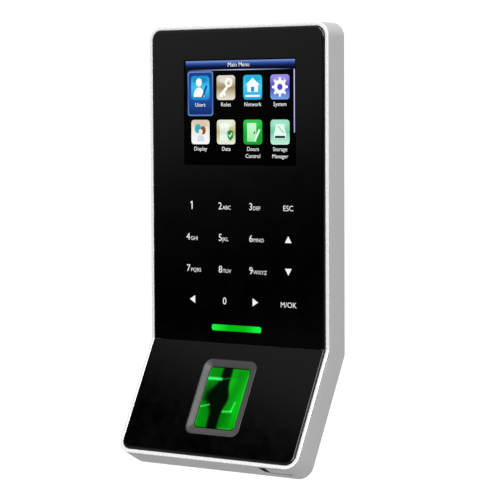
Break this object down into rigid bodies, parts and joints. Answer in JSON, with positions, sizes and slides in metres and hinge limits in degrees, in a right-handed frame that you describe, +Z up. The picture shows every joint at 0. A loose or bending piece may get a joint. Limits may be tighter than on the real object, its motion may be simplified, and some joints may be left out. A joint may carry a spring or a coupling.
{
  "type": "fingerprint scanner terminal",
  "caption": "Wall-mounted fingerprint and keypad terminal with a colour display, touch keys, a sloped optical sensor, a USB door and a steel wall plate.",
  "frame": {"origin": "centre of the four wall-screw holes, on the wall plate's back face", "axes": "+Z up along the upright front, -Y out of the front glass, +X to the right seen from the front"},
  "size_m": [0.0788, 0.0401, 0.1591],
  "materials": {
    "silver_paint": "fine satin silver paint on moulded plastic",
    "bright_trim": "polished, bright",
    "black_glass": "gloss black, printed behind toughened glass",
    "black_fascia": "gloss black polycarbonate",
    "dark_cover": "fine textured moulding",
    "zinc_steel": "zinc plated sheet",
    "nickel_steel": "nickel plated",
    "foam": "closed-cell foam",
    "display_glass": "liquid crystal cell",
    "white_plastic": "diffusing white",
    "circuit_board": "solder-masked glass epoxy",
    "black_component": "moulded epoxy",
    "film_circuit": "polyimide film",
    "gold_plate": "thin gold plating",
    "led_white": "phosphor cap",
    "status_green": "lit light pipe",
    "sensor_glass": "optical block, lit green",
    "grey_bezel": "satin grey moulding"
  },
  "bodies": {
    "wall": {"wall_plate": "zinc_steel", "lock_nut": "nickel_steel"},
    "terminal": {"trim_ring": "bright_trim", "mid_frame": "silver_paint", "rear_cover": "dark_cover", "wall_gasket": "foam", "upper_front_panel": "black_glass", "lower_front_panel": "black_fascia", "display_cell": "display_glass", "display_backlight": "zinc_steel", "display_flex": "film_circuit", "touch_board": "circuit_board", "keypad_light_guide": "white_plastic", "keypad_leds": "led_white", "touch_flex": "film_circuit", "card_antenna": "circuit_board", "status_light_bar": "status_green", "status_leds": "led_white", "main_board": "circuit_board", "processor": "black_component", "memory_chips": "black_component", "wifi_module": "nickel_steel", "wifi_antenna": "gold_plate", "lock_relay": "black_component", "speaker": "black_component", "speaker_seal": "foam", "power_capacitors": "nickel_steel", "coin_cell": "nickel_steel", "coin_cell_holder": "black_component", "power_connector": "white_plastic", "lock_connector": "white_plastic", "network_connector": "white_plastic", "sensor_bezel": "grey_bezel", "sensor_prism": "sensor_glass", "sensor_housing": "black_component", "sensor_board": "circuit_board", "sensor_camera": "black_component", "sensor_leds": "led_white", "sensor_flex": "film_circuit", "usb_board": "circuit_board", "usb_socket": "nickel_steel", "usb_contacts": "white_plastic", "usb_flex": "film_circuit", "usb_door_pin": "nickel_steel", "tamper_switch": "black_component", "tamper_spring": "nickel_steel", "reset_switch": "black_component", "board_screws": "nickel_steel", "case_screws": "nickel_steel"},
    "door": {"usb_door": "silver_paint"},
    "lock": {"security_screw": "nickel_steel"},
    "tamper": {"tamper_plunger": "white_plastic"},
    "reset": {"reset_button": "white_plastic"}
  },
  "joints": [
    {"name": "terminal_swing", "type": "hinge", "parent": "wall", "child": "terminal", "pos_m": [0, -0.0029, 0.0516], "axis": [-1, 0, 0], "range_deg": [0, 20]},
    {"name": "usb_door_hinge", "type": "hinge", "parent": "terminal", "child": "door", "pos_m": [0.0335, -0.03622, -0.09049], "axis": [0, -0.8829, 0.4695], "range_deg": [0, 95]},
    {"name": "lock_screw_travel", "type": "slide", "parent": "terminal", "child": "lock", "axis": [0, 0, 1], "range_m": [0, 0.0045]},
    {"name": "tamper_travel", "type": "slide", "parent": "terminal", "child": "tamper", "axis": [0, 1, 0], "range_m": [-0.0015, 0], "stiffness_N_per_m": 300, "springref_m": 0.001, "deforming": ["tamper_spring"]},
    {"name": "reset_travel", "type": "slide", "parent": "terminal", "child": "reset", "axis": [0, 1, 0], "range_m": [-0.0004, 0], "stiffness_N_per_m": 1500, "springref_m": 0.0002}
  ]
}
